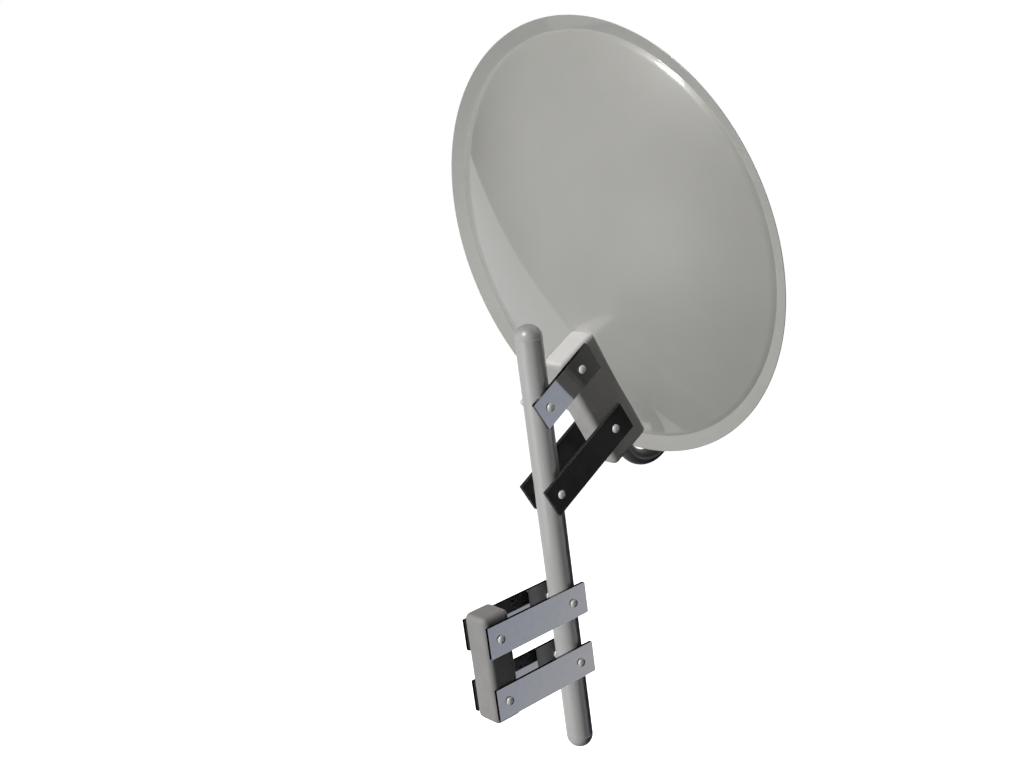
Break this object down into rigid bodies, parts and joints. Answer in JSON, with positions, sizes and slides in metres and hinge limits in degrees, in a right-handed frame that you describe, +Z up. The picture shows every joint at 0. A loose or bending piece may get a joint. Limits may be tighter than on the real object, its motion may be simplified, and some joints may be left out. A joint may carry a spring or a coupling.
{
  "type": "satellite dish",
  "caption": "Round satellite dish with a folded lip on a wall-mounted mast, carried by strap links and a tilt block, with a hooked feed arm and feed head.",
  "frame": {"origin": "on the wall plane, at the middle of the wall bracket's flat back, halfway between the two levels of straps", "axes": "+X away from the wall towards where the dish looks, +Z up along the mast, +Y to the left seen from the wall"},
  "size_m": [0.6318, 0.6634, 1.0742],
  "materials": {
    "dark_paint": "satin",
    "galvanised_steel": "satin",
    "cast_aluminium": "matt cast",
    "mast_paint": "satin",
    "mast_cap": "satin",
    "dish_paint": "satin",
    "arm_paint": "satin",
    "black_plastic": "matt",
    "lnb_plastic": "satin",
    "feed_cap_plastic": "satin",
    "polished_steel": "polished"
  },
  "bodies": {
    "wall_and_mast": {"wall_bracket": "cast_aluminium", "wall_strap_upper_right": "galvanised_steel", "wall_strap_upper_left": "galvanised_steel", "wall_strap_lower_right": "galvanised_steel", "wall_strap_lower_left": "galvanised_steel", "wall_upper_bolt": "polished_steel", "wall_upper_nut": "polished_steel", "wall_lower_bolt": "polished_steel", "wall_lower_nut": "polished_steel", "mast_upper_bolt": "polished_steel", "mast_upper_nut": "polished_steel", "mast_lower_bolt": "polished_steel", "mast_lower_nut": "polished_steel", "mast_spacer_upper_right": "polished_steel", "mast_spacer_upper_left": "polished_steel", "mast_spacer_lower_right": "polished_steel", "mast_spacer_lower_left": "polished_steel", "mast_tube": "mast_paint", "mast_cap_top": "mast_cap", "mast_cap_bottom": "mast_cap", "link_upper_mast_bolt": "polished_steel", "link_upper_mast_nut": "polished_steel", "link_spacer_upper_right": "polished_steel", "link_spacer_upper_left": "polished_steel", "link_lower_mast_bolt": "polished_steel", "link_lower_mast_nut": "polished_steel", "link_spacer_lower_right": "polished_steel", "link_spacer_lower_left": "polished_steel"},
    "lower_links": {"tilt_link_lower_right": "dark_paint", "tilt_link_lower_left": "dark_paint"},
    "upper_link": {"tilt_link_upper": "galvanised_steel"},
    "dish_head": {"dish_block": "cast_aluminium", "link_upper_block_bolt": "polished_steel", "link_upper_block_nut": "polished_steel", "link_lower_block_bolt": "polished_steel", "link_lower_block_nut": "polished_steel", "reflector": "dish_paint", "panel_bolt_1": "polished_steel", "panel_bolt_2": "polished_steel", "panel_bolt_3": "polished_steel", "panel_bolt_4": "polished_steel", "feed_arm": "arm_paint", "arm_screw": "polished_steel", "clamp_cradle": "black_plastic", "clamp_cap": "black_plastic", "clamp_screw_right": "polished_steel", "clamp_screw_left": "polished_steel"},
    "feed_head": {"lnb_body": "lnb_plastic", "feed_cap": "feed_cap_plastic", "f_connector": "polished_steel"}
  },
  "joints": [
    {"name": "lower_link_tilt", "type": "hinge", "parent": "wall_and_mast", "child": "lower_links", "pos_m": [0.167, 0, 0.2171], "axis": [0, -1, 0], "range_deg": [-6, 6]},
    {"name": "upper_link_tilt", "type": "hinge", "parent": "wall_and_mast", "child": "upper_link", "pos_m": [0.167, 0, 0.3484], "axis": [0, -1, 0], "range_deg": [-10.6, 10.6]},
    {"name": "block_tilt", "type": "hinge", "parent": "lower_links", "child": "dish_head", "pos_m": [0.2868, 0, 0.2808], "axis": [0, -1, 0], "range_deg": [-6.1, 6.1]},
    {"name": "feed_skew", "type": "hinge", "parent": "dish_head", "child": "feed_head", "pos_m": [0.5609, 0, 0.57663], "axis": [0.9928, 0, 0.1201], "range_deg": [-45, 45]}
  ],
  "couplings": [
    {"joint": "upper_link_tilt", "follows": "lower_link_tilt", "ratio": 1.7394},
    {"joint": "block_tilt", "follows": "lower_link_tilt", "ratio": -0.9816}
  ]
}
